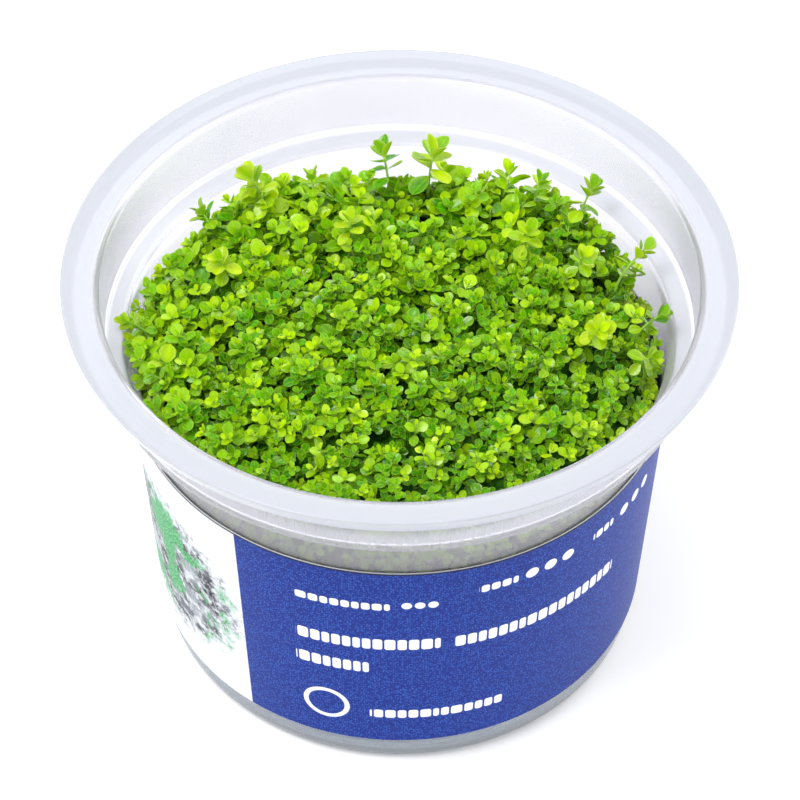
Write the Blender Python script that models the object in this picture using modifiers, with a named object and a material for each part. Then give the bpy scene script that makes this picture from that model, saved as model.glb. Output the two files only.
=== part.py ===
"""Dwarf baby tears growing in a clear plastic cup, with a paper label round the cup.

Origin at the middle of the cup's base, +Z up, the label's front towards -Y.
Every size below is in millimetres and is turned to metres where a mesh is made.
"""

import math

import bmesh
import bpy
from mathutils import Matrix, Vector

MM = 0.001
# Clearance between pieces that touch in the real cup.
GAP = 0.3
# Points of a turned piece, and of a stem, that lie closer than this are one point (metres).
MERGE = 0.00001
STEM_MERGE = 0.000001
# Faces that meet at less than this look smooth.
CREASE = math.radians(40.0)

# The cup: a stepped, thin-walled moulding. Radii are of its outer side.
CUP_HEIGHT = 69.5
CUP_WALL = 0.8
CUP_SEGMENTS = 56
LIP_RADIUS = 50.0
LIP_DROP = 2.85
LIP_TUCK = 1.0
LIP_EDGE = 0.3
COLLAR_RADIUS = 45.2
COLLAR_FOOT = 57.9
FLANGE_RISE = 1.57
SHELF_RADIUS = 41.9
SHELF_FOOT = 56.6
BODY_RADIUS = 40.6
BODY_AT = 48.2
BODY_DRAFT = 0.055
BASE_FILLET = 4.0
FOOT_WIDTH = 1.4
FOOT_RISE = 0.9
CORNER_STEPS = 3

# The paper label: a band round the tapering wall, with its ends nearly meeting at the back.
LABEL_TOP = 48.2
LABEL_FOOT = 6.2
LABEL_THICKNESS = 0.2
LABEL_STAND_OFF = 0.2
LABEL_SEAM = math.radians(6.0)

# The set jelly that the roots feed from, and the crown where the shoots begin.
GEL_TOP = 13.0
GEL_DIP = 0.8
GEL_RIM_DIP = 0.7
GEL_RIM_WIDTH = 3.0
GEL_SEGMENTS = 36

# The carpet of small leaves: a low dome that leaves a gap to the wall at the back and at the right.
CARPET_CELLS = 32
CARPET_EDGE = 55.9
CARPET_RISE = 3.6
CARPET_MIDDLE_Y = -5.0
CARPET_SPREAD = 43.0
CARPET_SHOULDER = 2.4
CARPET_SHOULDER_WIDTH = 0.2
CARPET_SIDE_RINGS = (0.22, 0.6, 1.0)
CARPET_FOOT_IN = 1.0

# Clumps of shoots that the carpet is made of: their spacing, stray, radius and height. Their rows are
# closer than the clumps in a row.
CLUMP_PITCH = 6.8
ROW_SHARE = 0.866
CLUMP_STRAY = 1.5
CLUMP_RADIUS = 4.3
CLUMP_RISE = 3.3

# Gaps between the carpet and the wall: direction, half width (degrees) and depth.
CARPET_GAPS = ((92, 24, 8.2), (8, 17, 3.4), (152, 11, 2.4))

# A sprig's parts. Its foot stands on the highest ground within SPRIG_CLEAR of it.
SPRIG_CLEAR = 1.1
STEM_RADIUS = 0.24
STEM_KNEE = 0.55
STEM_SHARES = (0.0, 0.36, 0.7, 1.0)
LEAF_SIDES = 8
LEAF_THICKNESS = 0.42
LEAF_WIDTH = 0.76
LEAF_RISE = math.radians(28.0)
LEAF_ROOT = 0.12
LEAF_DISH = 0.12
LEAF_FOOT_WIDTH = 0.38
LEAF_FLARE = 0.86
LEAF_PAIRS = ((0.46, 0.80), (0.74, 1.0), (0.95, 0.72))
# The leaves of a pair: how far one stands above the stem's point and the other below, and how far they
# are from straight opposite.
PAIR_STEP = 0.13
PAIR_SKEW = 0.12

# Sprigs that stand over the carpet: foot x, foot y, tip x, tip y, tip z, longest leaf, turn.
SPRIGS = (
    (4.4, 27.4, 4.9, 30.2, 65.6, 2.9, 10),
    (-2.6, 27.0, -2.0, 30.2, 65.8, 2.1, 50),
    (-20.6, 22.6, -22.8, 24.4, 65.6, 2.8, 75),
    (-28.6, 18.2, -30.2, 19.4, 62.6, 2.1, 20),
    (-13.2, 24.6, -13.6, 26.0, 63.8, 2.2, 0),
    (20.6, 23.4, 21.6, 25.2, 63.4, 2.2, 35),
    (27.4, 20.4, 29.5, 23.0, 64.4, 2.4, 60),
    (32.6, 6.6, 36.9, 9.6, 64.2, 2.1, 70),
    (35.0, -3.4, 38.8, -2.4, 62.2, 1.9, 30),
    (-37.2, -2.4, -40.6, -3.2, 61.6, 1.9, 5),
    (-7.4, 14.8, -7.6, 15.4, 64.6, 2.7, 40),
    (18.8, 12.4, 19.4, 12.2, 65.2, 2.8, 65),
    (27.0, 8.6, 27.6, 8.4, 63.8, 2.6, 25),
    (-26.4, 8.0, -27.0, 7.6, 63.4, 2.7, 80),
    (29.0, -5.4, 29.4, -6.2, 63.0, 2.7, 10),
    (35.0, -9.6, 37.0, -10.6, 61.4, 2.5, 55),
)


def body_radius(z):
    """Outer radius of the cup's tapering wall at height z."""
    return BODY_RADIUS + BODY_DRAFT * (z - BODY_AT)


def carpet_radius(angle):
    """Radius of the carpet's edge: the inside of the wall, less a smooth gap in some directions."""
    reach = body_radius(BODY_AT) - CUP_WALL - GAP
    degrees = math.degrees(angle)
    for middle, width, depth in CARPET_GAPS:
        away = (degrees - middle + 180.0) % 360.0 - 180.0
        reach -= depth * math.exp(-((away / width) ** 2))
    return reach


def scatter(column, row, kind):
    """A number from 0 to 1 that looks random and depends only on a clump's place."""
    value = math.sin(12.9898 * column + 78.233 * row + 37.719 * kind) * 43758.5453
    return value - math.floor(value)


def clump(x, y):
    """How far the highest clump stands at a place: one minus the squared distance to its middle."""
    best = 0.0
    middle_row = round(y / (CLUMP_PITCH * ROW_SHARE))
    for row in range(middle_row - 1, middle_row + 2):
        shift = 0.5 * (row % 2)
        middle_column = round(x / CLUMP_PITCH - shift)
        for column in range(middle_column - 1, middle_column + 2):
            centre_x = (column + shift) * CLUMP_PITCH + CLUMP_STRAY * (2 * scatter(column, row, 0) - 1)
            centre_y = row * CLUMP_PITCH * ROW_SHARE + CLUMP_STRAY * (2 * scatter(column, row, 1) - 1)
            away = ((x - centre_x) ** 2 + (y - centre_y) ** 2) / CLUMP_RADIUS**2
            best = max(best, (0.55 + 0.45 * scatter(column, row, 2)) * (1.0 - away))
    return best


def carpet_height(x, y):
    """Height of the carpet's top: a low dome with the round clump that stands highest there."""
    away = (x * x + (y - CARPET_MIDDLE_Y) ** 2) / CARPET_SPREAD**2
    return CARPET_EDGE + CARPET_RISE * (1.0 - away) + CLUMP_RISE * clump(x, y)


def material(name, colour, roughness, alpha=1.0, transmission=0.0):
    """A Principled material with one colour."""
    made = bpy.data.materials.new(name)
    made.use_nodes = True
    shader = made.node_tree.nodes["Principled BSDF"]
    shader.inputs["Base Color"].default_value = (*colour, 1.0)
    shader.inputs["Roughness"].default_value = roughness
    shader.inputs["Metallic"].default_value = 0.0
    shader.inputs["Alpha"].default_value = alpha
    shader.inputs["Transmission Weight"].default_value = transmission
    made.diffuse_color = (*colour, alpha)
    return made


def add_object(name, data, collection, finish=None):
    """Links a new object to a collection and gives it its material."""
    made = bpy.data.objects.new(name, data)
    collection.objects.link(made)
    if finish:
        data.materials.append(finish)
    return made


def smooth(made):
    """Smooth shading that keeps the creases."""
    made.data.shade_smooth()
    made.data.set_sharp_from_angle(angle=CREASE)


def turned(name, profile, segments, collection, finish):
    """A turned piece: an (r, z) profile in the XZ plane, spun about Z by a Screw modifier."""
    mesh = bpy.data.meshes.new(name)
    points = [(r * MM, 0.0, z * MM) for r, z in profile]
    mesh.from_pydata(points, [(i, i + 1) for i in range(len(points) - 1)], [])
    made = add_object(name, mesh, collection, finish)
    spin = made.modifiers.new("Spin", "SCREW")
    spin.axis = "Z"
    spin.angle = 2.0 * math.pi
    spin.steps = segments
    spin.render_steps = segments
    spin.use_merge_vertices = True
    spin.merge_threshold = MERGE
    spin.use_smooth_shade = True
    return made


def arc(centre_r, centre_z, radius, start, end, steps):
    """Points on a round corner of a profile, between two angles in degrees."""
    angles = [math.radians(start + (end - start) * i / steps) for i in range(steps + 1)]
    return [(centre_r + radius * math.cos(a), centre_z + radius * math.sin(a)) for a in angles]


def cup_profile():
    """The cup's cross section, from the middle of its floor up the inside and down the outside."""
    floor = FOOT_RISE + CUP_WALL
    flange_inner = COLLAR_RADIUS - CUP_WALL
    flange_z = CUP_HEIGHT - FLANGE_RISE
    fillet_r = body_radius(BASE_FILLET) - BASE_FILLET
    inner_fillet = BASE_FILLET - CUP_WALL
    lip_foot = CUP_HEIGHT - LIP_DROP
    inside = [(0.0, floor)]
    inside += arc(fillet_r, floor + inner_fillet, inner_fillet, -90.0, 0.0, CORNER_STEPS)
    inside += [
        (body_radius(SHELF_FOOT) - CUP_WALL, SHELF_FOOT),
        (SHELF_RADIUS - CUP_WALL * 0.5, COLLAR_FOOT - CUP_WALL * 0.3),
        (flange_inner - LIP_EDGE, COLLAR_FOOT + CUP_WALL),
        (flange_inner, flange_z),
        (LIP_RADIUS - LIP_EDGE, CUP_HEIGHT),
    ]
    outside = [
        (LIP_RADIUS, CUP_HEIGHT - LIP_EDGE),
        (LIP_RADIUS - LIP_TUCK, lip_foot),
        (LIP_RADIUS - LIP_TUCK - CUP_WALL, lip_foot),
        (LIP_RADIUS - CUP_WALL, CUP_HEIGHT - CUP_WALL - LIP_EDGE),
        (COLLAR_RADIUS, flange_z - CUP_WALL),
        (COLLAR_RADIUS, COLLAR_FOOT),
        (SHELF_RADIUS, SHELF_FOOT + CUP_WALL * 0.5),
        (body_radius(SHELF_FOOT), SHELF_FOOT - CUP_WALL),
    ]
    outside += arc(fillet_r, BASE_FILLET, BASE_FILLET, 0.0, -90.0, CORNER_STEPS)
    foot_inner = fillet_r - FOOT_WIDTH
    outside += [(foot_inner, 0.0), (foot_inner - FOOT_RISE, FOOT_RISE), (0.0, FOOT_RISE)]
    return inside + outside


def gel_profile():
    """The jelly's cross section, which fills the cup's floor with its edge crept up the wall."""
    floor = FOOT_RISE + CUP_WALL + GAP
    fillet_r = body_radius(BASE_FILLET) - BASE_FILLET
    corner = BASE_FILLET - CUP_WALL - GAP
    wall = body_radius(GEL_TOP) - CUP_WALL - GAP
    profile = [(0.0, GEL_TOP - GEL_DIP), (wall - GEL_RIM_WIDTH, GEL_TOP - GEL_RIM_DIP), (wall, GEL_TOP)]
    profile += arc(fillet_r, floor + corner, corner, 0.0, -90.0, CORNER_STEPS)
    return profile + [(0.0, floor)]


def make_label(collection, finish):
    """The label: one edge spun about Z as far as the seam, then given its thickness."""
    shape = bmesh.new()
    inner = LABEL_STAND_OFF
    start = math.pi / 2.0 + LABEL_SEAM / 2.0
    turn = Matrix.Rotation(start, 3, "Z")
    ends = [(body_radius(z) + inner, 0.0, z) for z in (LABEL_TOP, LABEL_FOOT)]
    verts = [shape.verts.new(turn @ Vector(point) * MM) for point in ends]
    edge = shape.edges.new(verts)
    bmesh.ops.spin(
        shape,
        geom=[*verts, edge],
        cent=(0.0, 0.0, 0.0),
        axis=(0.0, 0.0, 1.0),
        angle=2.0 * math.pi - LABEL_SEAM,
        steps=CUP_SEGMENTS,
    )
    bmesh.ops.recalc_face_normals(shape, faces=shape.faces)
    if sum(face.normal.dot(face.calc_center_median()) for face in shape.faces) < 0.0:
        bmesh.ops.reverse_faces(shape, faces=shape.faces)
    mesh = bpy.data.meshes.new("label")
    shape.to_mesh(mesh)
    shape.free()
    made = add_object("label", mesh, collection, finish)
    wall = made.modifiers.new("Paper", "SOLIDIFY")
    wall.thickness = LABEL_THICKNESS * MM
    wall.offset = 1.0
    smooth(made)
    return made


def carpet_top(u, v):
    """A point of the carpet's top, for a place in a square from -1 to 1 that is rounded to a disc."""
    across = u * math.sqrt(1.0 - v * v / 2.0)
    along = v * math.sqrt(1.0 - u * u / 2.0)
    share = math.hypot(across, along)
    angle = math.atan2(along, across)
    radius = share * carpet_radius(angle)
    x, y = radius * math.cos(angle), radius * math.sin(angle)
    past = max(0.0, share - (1.0 - CARPET_SHOULDER_WIDTH)) / CARPET_SHOULDER_WIDTH
    rounded = CARPET_SHOULDER * past**2
    return Vector((x, y, carpet_height(x, y) - rounded))


def carpet_side(point, share):
    """A point of the carpet's side, a share of the way from its edge down to its foot."""
    foot = GEL_TOP + GAP
    foot_radius = body_radius(foot) - CUP_WALL - GAP - CARPET_FOOT_IN
    edge = math.hypot(point.x, point.y)
    inward = min(edge, edge + (foot_radius - edge) * share) / edge
    return Vector((point.x * inward, point.y * inward, point.z + (foot - point.z) * share))


def make_carpet(collection, finish):
    """The carpet: a grid rounded to a disc for its top, with its rim drawn down to the jelly."""
    shape = bmesh.new()
    bmesh.ops.create_grid(shape, x_segments=CARPET_CELLS, y_segments=CARPET_CELLS, size=1.0)
    for vert in shape.verts:
        vert.co = carpet_top(vert.co.x, vert.co.y)
    rim = [edge for edge in shape.edges if edge.is_boundary]
    starts = {vert: vert.co.copy() for edge in rim for vert in edge.verts}
    for share in CARPET_SIDE_RINGS:
        drawn = bmesh.ops.extrude_edge_only(shape, edges=rim)["geom"]
        rim = [item for item in drawn if isinstance(item, bmesh.types.BMEdge) and item.is_boundary]
        lowered = {}
        for vert in {vert for edge in rim for vert in edge.verts}:
            above = next(v for e in vert.link_edges for v in e.verts if v in starts)
            lowered[vert] = starts[above]
            vert.co = carpet_side(starts[above], share)
        starts = lowered
    bmesh.ops.contextual_create(shape, geom=rim)
    bmesh.ops.recalc_face_normals(shape, faces=shape.faces)
    for vert in shape.verts:
        vert.co *= MM
    mesh = bpy.data.meshes.new("leaf_carpet")
    shape.to_mesh(mesh)
    shape.free()
    made = add_object("leaf_carpet", mesh, collection, finish)
    smooth(made)
    return made


def stem_line(foot, tip, share):
    """A point on a stem, which rises straight at first and leans towards its tip."""
    knee = Vector((foot.x, foot.y, foot.z + STEM_KNEE * (tip.z - foot.z)))
    return foot * (1 - share) ** 2 + knee * 2 * share * (1 - share) + tip * share**2


def add_leaf(shape, place, length):
    """A leaf: a sphere of eight sides pressed flat, narrow at its foot and round at its tip."""
    made = bmesh.ops.create_uvsphere(
        shape, u_segments=LEAF_SIDES, v_segments=2, radius=1.0
    )
    for vert in made["verts"]:
        pole = abs(vert.co.z) > 0.5
        along = 0.5 if pole else (1.0 + vert.co.x) / 2.0
        width = LEAF_WIDTH * length / 2.0 * (LEAF_FOOT_WIDTH + LEAF_FLARE * along)
        flat = Vector(
            (
                along * length - LEAF_ROOT,
                0.0 if pole else vert.co.y * width,
                LEAF_THICKNESS / 2.0 * vert.co.z if pole else LEAF_DISH * abs(vert.co.y) * length,
            )
        )
        vert.co = (place @ flat) * MM


def make_sprig(number, entry, collection, cutters, stem_finish, leaf_finish):
    """A sprig: a thin stem with crossed pairs of leaves, joined in one solid."""
    foot_x, foot_y, tip_x, tip_y, tip_z, leaf, turn = entry
    name = f"sprig_{number:02d}"
    around = ((0, 0), (SPRIG_CLEAR, 0), (-SPRIG_CLEAR, 0), (0, SPRIG_CLEAR), (0, -SPRIG_CLEAR))
    ground = max(carpet_height(foot_x + dx, foot_y + dy) for dx, dy in around)
    origin = Vector((foot_x, foot_y, ground + GAP))
    tip = Vector((tip_x, tip_y, tip_z)) - origin
    foot = Vector((0.0, 0.0, 0.0))

    line = bpy.data.curves.new(name, "CURVE")
    line.dimensions = "3D"
    line.bevel_depth = STEM_RADIUS * MM
    line.bevel_resolution = 0
    line.use_fill_caps = True
    spline = line.splines.new("POLY")
    spline.points.add(len(STEM_SHARES) - 1)
    for point, share in zip(spline.points, STEM_SHARES):
        point.co = (*(stem_line(foot, tip, share) * MM), 1.0)
    curve = bpy.data.objects.new(name, line)
    collection.objects.link(curve)
    bpy.context.view_layer.update()
    evaluated = curve.evaluated_get(bpy.context.evaluated_depsgraph_get())
    mesh = bpy.data.meshes.new_from_object(evaluated)
    bpy.data.objects.remove(curve)
    welded = bmesh.new()
    welded.from_mesh(mesh)
    bmesh.ops.remove_doubles(welded, verts=welded.verts, dist=STEM_MERGE)
    bmesh.ops.recalc_face_normals(welded, faces=welded.faces)
    welded.to_mesh(mesh)
    welded.free()
    mesh.name = name
    mesh.materials.clear()
    made = add_object(name, mesh, collection, stem_finish)
    mesh.materials.append(leaf_finish)
    made.location = origin * MM

    shape = bmesh.new()
    for index, (share, size) in enumerate(LEAF_PAIRS):
        at = stem_line(foot, tip, share)
        before = stem_line(foot, tip, share - 0.1)
        lean = (at - before).to_track_quat("Z", "X").to_matrix().to_4x4()
        for side, step in ((0.0, PAIR_STEP), (math.pi - PAIR_SKEW, -PAIR_STEP)):
            round_stem = Matrix.Rotation(math.radians(turn) + index * math.pi / 2.0 + side, 4, "Z")
            raised = Matrix.Rotation(-LEAF_RISE - 0.5 * step, 4, "Y")
            up = Matrix.Translation((0.0, 0.0, step))
            place = Matrix.Translation(at) @ lean @ up @ round_stem @ raised
            add_leaf(shape, place, leaf * size)
    leaves = bpy.data.meshes.new(name + "_leaves")
    shape.to_mesh(leaves)
    shape.free()
    cutter = add_object(name + "_leaves", leaves, cutters, leaf_finish)
    cutter.location = made.location
    cutter.hide_render = True
    cutter.display_type = "WIRE"

    union = made.modifiers.new("Leaves", "BOOLEAN")
    union.operation = "UNION"
    union.solver = "EXACT"
    union.use_self = True
    union.object = cutter
    return made


for old in list(bpy.data.objects):
    bpy.data.objects.remove(old, do_unlink=True)

plant = bpy.data.collections.new("dwarf_baby_tears")
cutters = bpy.data.collections.new("cutters")
bpy.context.scene.collection.children.link(plant)
bpy.context.scene.collection.children.link(cutters)

clear_plastic = material("polypropylene", (0.82, 0.84, 0.90), 0.3, 0.45, 0.7)
label_paper = material("label_paper", (0.05, 0.10, 0.40), 0.45)
jelly = material("nutrient_jelly", (0.86, 0.87, 0.80), 0.15, 0.6, 0.6)
carpet_green = material("carpet_leaves", (0.16, 0.40, 0.02), 0.4)
leaf_green = material("sprig_leaves", (0.36, 0.62, 0.02), 0.35)
stem_green = material("sprig_stems", (0.45, 0.62, 0.12), 0.4)

turned("cup", cup_profile(), CUP_SEGMENTS, plant, clear_plastic)
turned("nutrient_gel", gel_profile(), GEL_SEGMENTS, plant, jelly)
make_label(plant, label_paper)
make_carpet(plant, carpet_green)
for sprig_number, sprig_entry in enumerate(SPRIGS, start=1):
    make_sprig(sprig_number, sprig_entry, plant, cutters, stem_green, leaf_green)
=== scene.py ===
import math

import bpy
import numpy as np
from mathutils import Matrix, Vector


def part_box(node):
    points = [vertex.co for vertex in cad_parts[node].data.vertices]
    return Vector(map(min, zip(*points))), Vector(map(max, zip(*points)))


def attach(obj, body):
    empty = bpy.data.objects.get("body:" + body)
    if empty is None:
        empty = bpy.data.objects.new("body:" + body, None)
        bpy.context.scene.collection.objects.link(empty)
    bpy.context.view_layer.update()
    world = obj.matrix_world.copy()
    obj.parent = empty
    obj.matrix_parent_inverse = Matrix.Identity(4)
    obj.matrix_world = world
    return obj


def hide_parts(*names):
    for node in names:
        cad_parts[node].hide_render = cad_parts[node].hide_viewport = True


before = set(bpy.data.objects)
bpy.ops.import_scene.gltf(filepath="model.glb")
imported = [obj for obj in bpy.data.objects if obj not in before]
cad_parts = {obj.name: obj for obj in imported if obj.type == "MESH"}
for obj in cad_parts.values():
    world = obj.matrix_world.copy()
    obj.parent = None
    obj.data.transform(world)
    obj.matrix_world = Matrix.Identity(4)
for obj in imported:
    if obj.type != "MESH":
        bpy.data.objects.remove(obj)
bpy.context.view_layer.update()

# The studio: a white table under the cup, a white sky and two wide soft lights, and the camera above the
# front, as far off as a product photographer stands. None of it belongs to the object.
MM = 0.001
CAMERA_PLACE = (0.00005, -0.33067, 0.38986)
CAMERA_TILT = math.radians(43.494)
CAMERA_LENS = 140.4
TABLE_HALF = 3.0
SKY_STRENGTH = 1.0
# Each white light: place, width in metres, power in watts. Both look at the cup's middle.
LIGHTS = (((-0.35, -0.25, 0.95), 0.38, 5.6), ((0.60, 0.42, 0.68), 0.50, 3.0))
LIGHT_AIM = (0.0, 0.0, 0.05)


def linear(hex_colour):
    """An sRGB hex colour as linear RGBA: each channel over 255, then the sRGB curve undone."""
    value = np.array([int(hex_colour[i : i + 2], 16) for i in (1, 3, 5)]) / 255.0
    value = np.where(value <= 0.04045, value / 12.92, ((value + 0.055) / 1.055) ** 2.4)
    return (*value.tolist(), 1.0)


def feed(node, inputs):
    """Gives a node its inputs, which are values, hex colours or other nodes' outputs."""
    for name, value in inputs.items():
        if isinstance(value, bpy.types.NodeSocket):
            node.id_data.links.new(value, node.inputs[name])
        else:
            node.inputs[name].default_value = linear(value) if isinstance(value, str) else value


def add(tree, kind, inputs, out=0, **settings):
    """Adds a shader node of a kind with its settings and inputs, and gives one of its outputs."""
    node = tree.nodes.new("ShaderNode" + kind)
    for name, value in settings.items():
        setattr(node, name, value)
    feed(node, inputs)
    return node.outputs[out]


def finish_of(name, inputs):
    """A new Principled material, its node tree and its shader, which gets the inputs."""
    made = bpy.data.materials.new(name)
    made.use_nodes = True
    shader = made.node_tree.nodes["Principled BSDF"]
    feed(shader, inputs)
    return made, made.node_tree, shader


def piece(name, points, faces, finish, sharp=None):
    """A mesh object at the origin from arrays: points in millimetres and faces as point numbers."""
    mesh = bpy.data.meshes.new(name)
    mesh.from_pydata((points * MM).tolist(), [], faces)
    mesh.shade_smooth()
    if sharp:
        mesh.set_sharp_from_angle(angle=math.radians(sharp))
    mesh.materials.append(finish)
    made = bpy.data.objects.new(name, mesh)
    bpy.context.scene.collection.objects.link(made)
    return made


paint = {"Base Color": "#F4F4F6", "Roughness": 0.9, "Emission Color": "#FFFFFF", "Emission Strength": 0.15}
table_white = finish_of("matte_white_table", paint)[0]
corners = np.array([(-1.0, -1.0, 0.0), (1.0, -1.0, 0.0), (1.0, 1.0, 0.0), (-1.0, 1.0, 0.0)])
table = piece("table", corners * TABLE_HALF / MM, [(0, 1, 2, 3)], table_white)

sky = bpy.data.worlds.new("white_studio")
sky.use_nodes = True
feed(sky.node_tree.nodes["Background"], {"Color": "#FFFFFF", "Strength": SKY_STRENGTH})
bpy.context.scene.world = sky
bpy.context.scene.view_settings.view_transform = "Standard"

for number, (place, width, power) in enumerate(LIGHTS, start=1):
    lamp = bpy.data.lights.new(f"soft_light_{number}", "AREA")
    lamp.size = width
    lamp.energy = power
    held = bpy.data.objects.new(lamp.name, lamp)
    held.location = place
    aim = Vector(LIGHT_AIM) - held.location
    held.rotation_euler = aim.to_track_quat("-Z", "Y").to_euler()
    bpy.context.scene.collection.objects.link(held)

eye = bpy.data.cameras.new("camera")
eye.sensor_width = 36.0
eye.lens = CAMERA_LENS
camera = bpy.data.objects.new("camera", eye)
camera.location = CAMERA_PLACE
camera.rotation_euler = (CAMERA_TILT, 0.0, 0.0)
bpy.context.scene.collection.objects.link(camera)
bpy.context.scene.camera = camera


# The culture cup: one thin-walled moulding of natural polypropylene, with a foot ring, a tapering wall,
# a small shelf, a collar and a sloping flange that ends in a turned-down lip. Milky, and a little violet.
CUP_SEGMENTS = 192
# The cross section (radius, height, corner radius) up the inside, over the lip and down the outside.
CUP_SECTION = (
    (0.0, 1.7, 0.0), (37.24, 1.7, 3.4), (40.26, 56.6, 0.8), (41.6, 57.55, 0.6), (44.1, 58.5, 0.7),
    (44.4, 67.93, 0.6), (49.9, 69.5, 0.45), (50.05, 69.1, 0.25), (49.0, 66.65, 0.3), (48.2, 66.65, 0.3),
    (49.0, 68.35, 0.4), (45.2, 67.13, 0.5), (45.2, 57.75, 0.7), (41.9, 56.9, 0.5), (41.06, 55.8, 0.6),
    (37.95, 0.0, 4.2), (32.77, 0.0, 0.4), (31.87, 0.9, 0.4), (0.0, 0.9, 0.0),
)
# The tapering wall: its outer radius at one height, and its growth with each millimetre up.
TAPER_RADIUS = 40.6
TAPER_HEIGHT = 48.2
TAPER_GROWTH = 0.055
# The plastic's haze: the radii between which it sets in on the flange, the shelf's middle and half width,
# the shelf's share of it, and the shares of light that clear and hazy plastic let through.
FLANGE_HAZE = (45.0, 45.7)
SHELF_HAZE = (42.7, 1.2)
SHELF_SHARE = 0.6
CLEAR, HAZY = 0.86, 0.35
# A darker, bluer tone towards the foot: the heights between which it sets in, and its share.
FOOT_TONE = (6.6, 5.8)
FOOT_SHARE = 0.7


def body_radius(z):
    """Outer radius of the tapering wall: its radius at one height, and its growth times the way from it."""
    return TAPER_RADIUS + TAPER_GROWTH * (z - TAPER_HEIGHT)


def rounded(section, steps=7):
    """A cross section with its corners rounded: each corner becomes a quadratic curve that starts and ends
    a corner radius away from it, or at most 45% of the way to its neighbours."""
    section = np.array(section)
    place, reach = section[:, :2], section[:, 2]
    back, ahead = np.roll(place, 1, 0) - place, np.roll(place, -1, 0) - place
    back_length, ahead_length = np.hypot(*back.T), np.hypot(*ahead.T)
    start = place + back * (np.minimum(reach, 0.45 * back_length) / back_length)[:, None]
    end = place + ahead * (np.minimum(reach, 0.45 * ahead_length) / ahead_length)[:, None]
    t = np.linspace(0.0, 1.0, steps)[None, :, None]
    curve = start[:, None] * (1 - t) ** 2 + 2 * place[:, None] * t * (1 - t) + end[:, None] * t**2
    inner = curve[1:-1].reshape(-1, 2)
    keep = np.append(True, np.hypot(*np.diff(inner, axis=0).T) > 0.01)
    return np.vstack((place[:1], inner[keep], place[-1:]))


def divided(line, step):
    """A line of points with more points put on its long stretches, so that none is longer than step."""
    length = np.hypot(*np.diff(line, axis=0).T)
    parts = np.maximum(1, np.ceil(length / step).astype(int))
    number = np.repeat(np.arange(len(parts)), parts)
    share = (np.arange(parts.sum()) - np.repeat(np.cumsum(parts) - parts, parts)) / parts[number]
    filled = line[number] + (line[number + 1] - line[number]) * share[:, None]
    return np.vstack((filled, line[-1:]))


def ring_faces(rings, around):
    """The faces of a closed surface of rings that starts and ends in a pole: two fans with squares between.
    Point 0 is the first pole, then come the rings, and the last point is the other pole."""
    ring, step = np.meshgrid(np.arange(rings - 1), np.arange(around), indexing="ij")
    ahead = (step + 1) % around
    near, far = ring * around, (ring + 1) * around
    squares = 1 + np.stack((near + ahead, near + step, far + step, far + ahead), -1)
    step, ahead = step[0], ahead[0]
    last = 1 + (rings - 1) * around
    first_fan = np.stack((np.zeros_like(step), 1 + step, 1 + ahead), -1)
    last_fan = np.stack((last + ahead, last + step, np.full_like(step, last + around)), -1)
    return squares.reshape(-1, 4).tolist() + first_fan.tolist() + last_fan.tolist()


def turned(section, around):
    """A solid of revolution: each point of the section carried round the axis, its ends being the poles."""
    angle = np.arange(around) * 2.0 * math.pi / around
    radius, angle = np.meshgrid(section[1:-1, 0], angle, indexing="ij")
    high = np.broadcast_to(section[1:-1, 1:], radius.shape)
    points = np.stack((radius * np.cos(angle), radius * np.sin(angle), high), -1).reshape(-1, 3)
    return np.vstack(((0.0, 0.0, section[0, 1]), points, (0.0, 0.0, section[-1, 1])))


# Polypropylene, moulded with a fine matt skin: light goes through it blurred, and rings 0.7 mm wide follow
# the turning of the mould. The flange and shelf are the haziest parts. The skin's grain is drawn 0.4 mm
# wide, coarser than it is, so that it shows. IOR 1.49.
surface = {"Roughness": 0.2, "IOR": 1.49, "Specular IOR Level": 0.4}
cup_plastic, tree, shader = finish_of("natural_polypropylene", surface)
here = add(tree, "TexCoord", {}, "Object")
flat = add(tree, "VectorMath", {0: here, 1: (1.0, 1.0, 0.0)}, operation="MULTIPLY")
from_axis = add(tree, "VectorMath", {0: flat}, "Value", operation="LENGTH")
rings = add(tree, "TexNoise", {"W": from_axis, "Scale": 1400.0, "Detail": 3.0}, noise_dimensions="1D")
cloud = add(tree, "TexNoise", {"Vector": here, "Scale": 60.0, "Detail": 2.0})
limits = {"Value": from_axis, "From Min": FLANGE_HAZE[0] * MM, "From Max": FLANGE_HAZE[1] * MM}
flange = add(tree, "MapRange", limits)
shelf = {0: from_axis, 1: SHELF_HAZE[0] * MM, 2: SHELF_HAZE[1] * MM}
shelf = add(tree, "Math", shelf, operation="COMPARE")
haze = add(tree, "Math", {0: shelf, 1: SHELF_SHARE, 2: flange}, operation="MULTIPLY_ADD")
clear_share = add(tree, "MapRange", {"Value": haze, "To Min": CLEAR, "To Max": HAZY})
milk = add(tree, "Math", {0: rings, 1: cloud}, operation="MULTIPLY")
milk_share = add(tree, "MapRange", {"Value": milk, "From Min": 0.12, "From Max": 0.42})
colour = add(tree, "Mix", {0: milk_share, 6: "#EEEDF5", 7: "#F8F6FC"}, 2, data_type="RGBA")
colour = add(tree, "Mix", {0: haze, 6: colour, 7: "#D3D6DF"}, 2, data_type="RGBA")
height = add(tree, "SeparateXYZ", {0: here}, "Z")
limits = {"Value": height, "From Min": FOOT_TONE[0] * MM, "From Max": FOOT_TONE[1] * MM, "To Max": FOOT_SHARE}
bluer_foot_share = add(tree, "MapRange", limits)
colour = add(tree, "Mix", {0: bluer_foot_share, 6: colour, 7: "#CCDAE6"}, 2, data_type="RGBA")
grain = add(tree, "TexNoise", {"Vector": here, "Scale": 2500.0, "Detail": 2.0})
ring_height = add(tree, "Math", {0: grain, 1: 0.35, 2: rings}, operation="MULTIPLY_ADD")
skin = add(tree, "Bump", {"Height": ring_height, "Strength": 0.12, "Distance": 0.0002})
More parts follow.
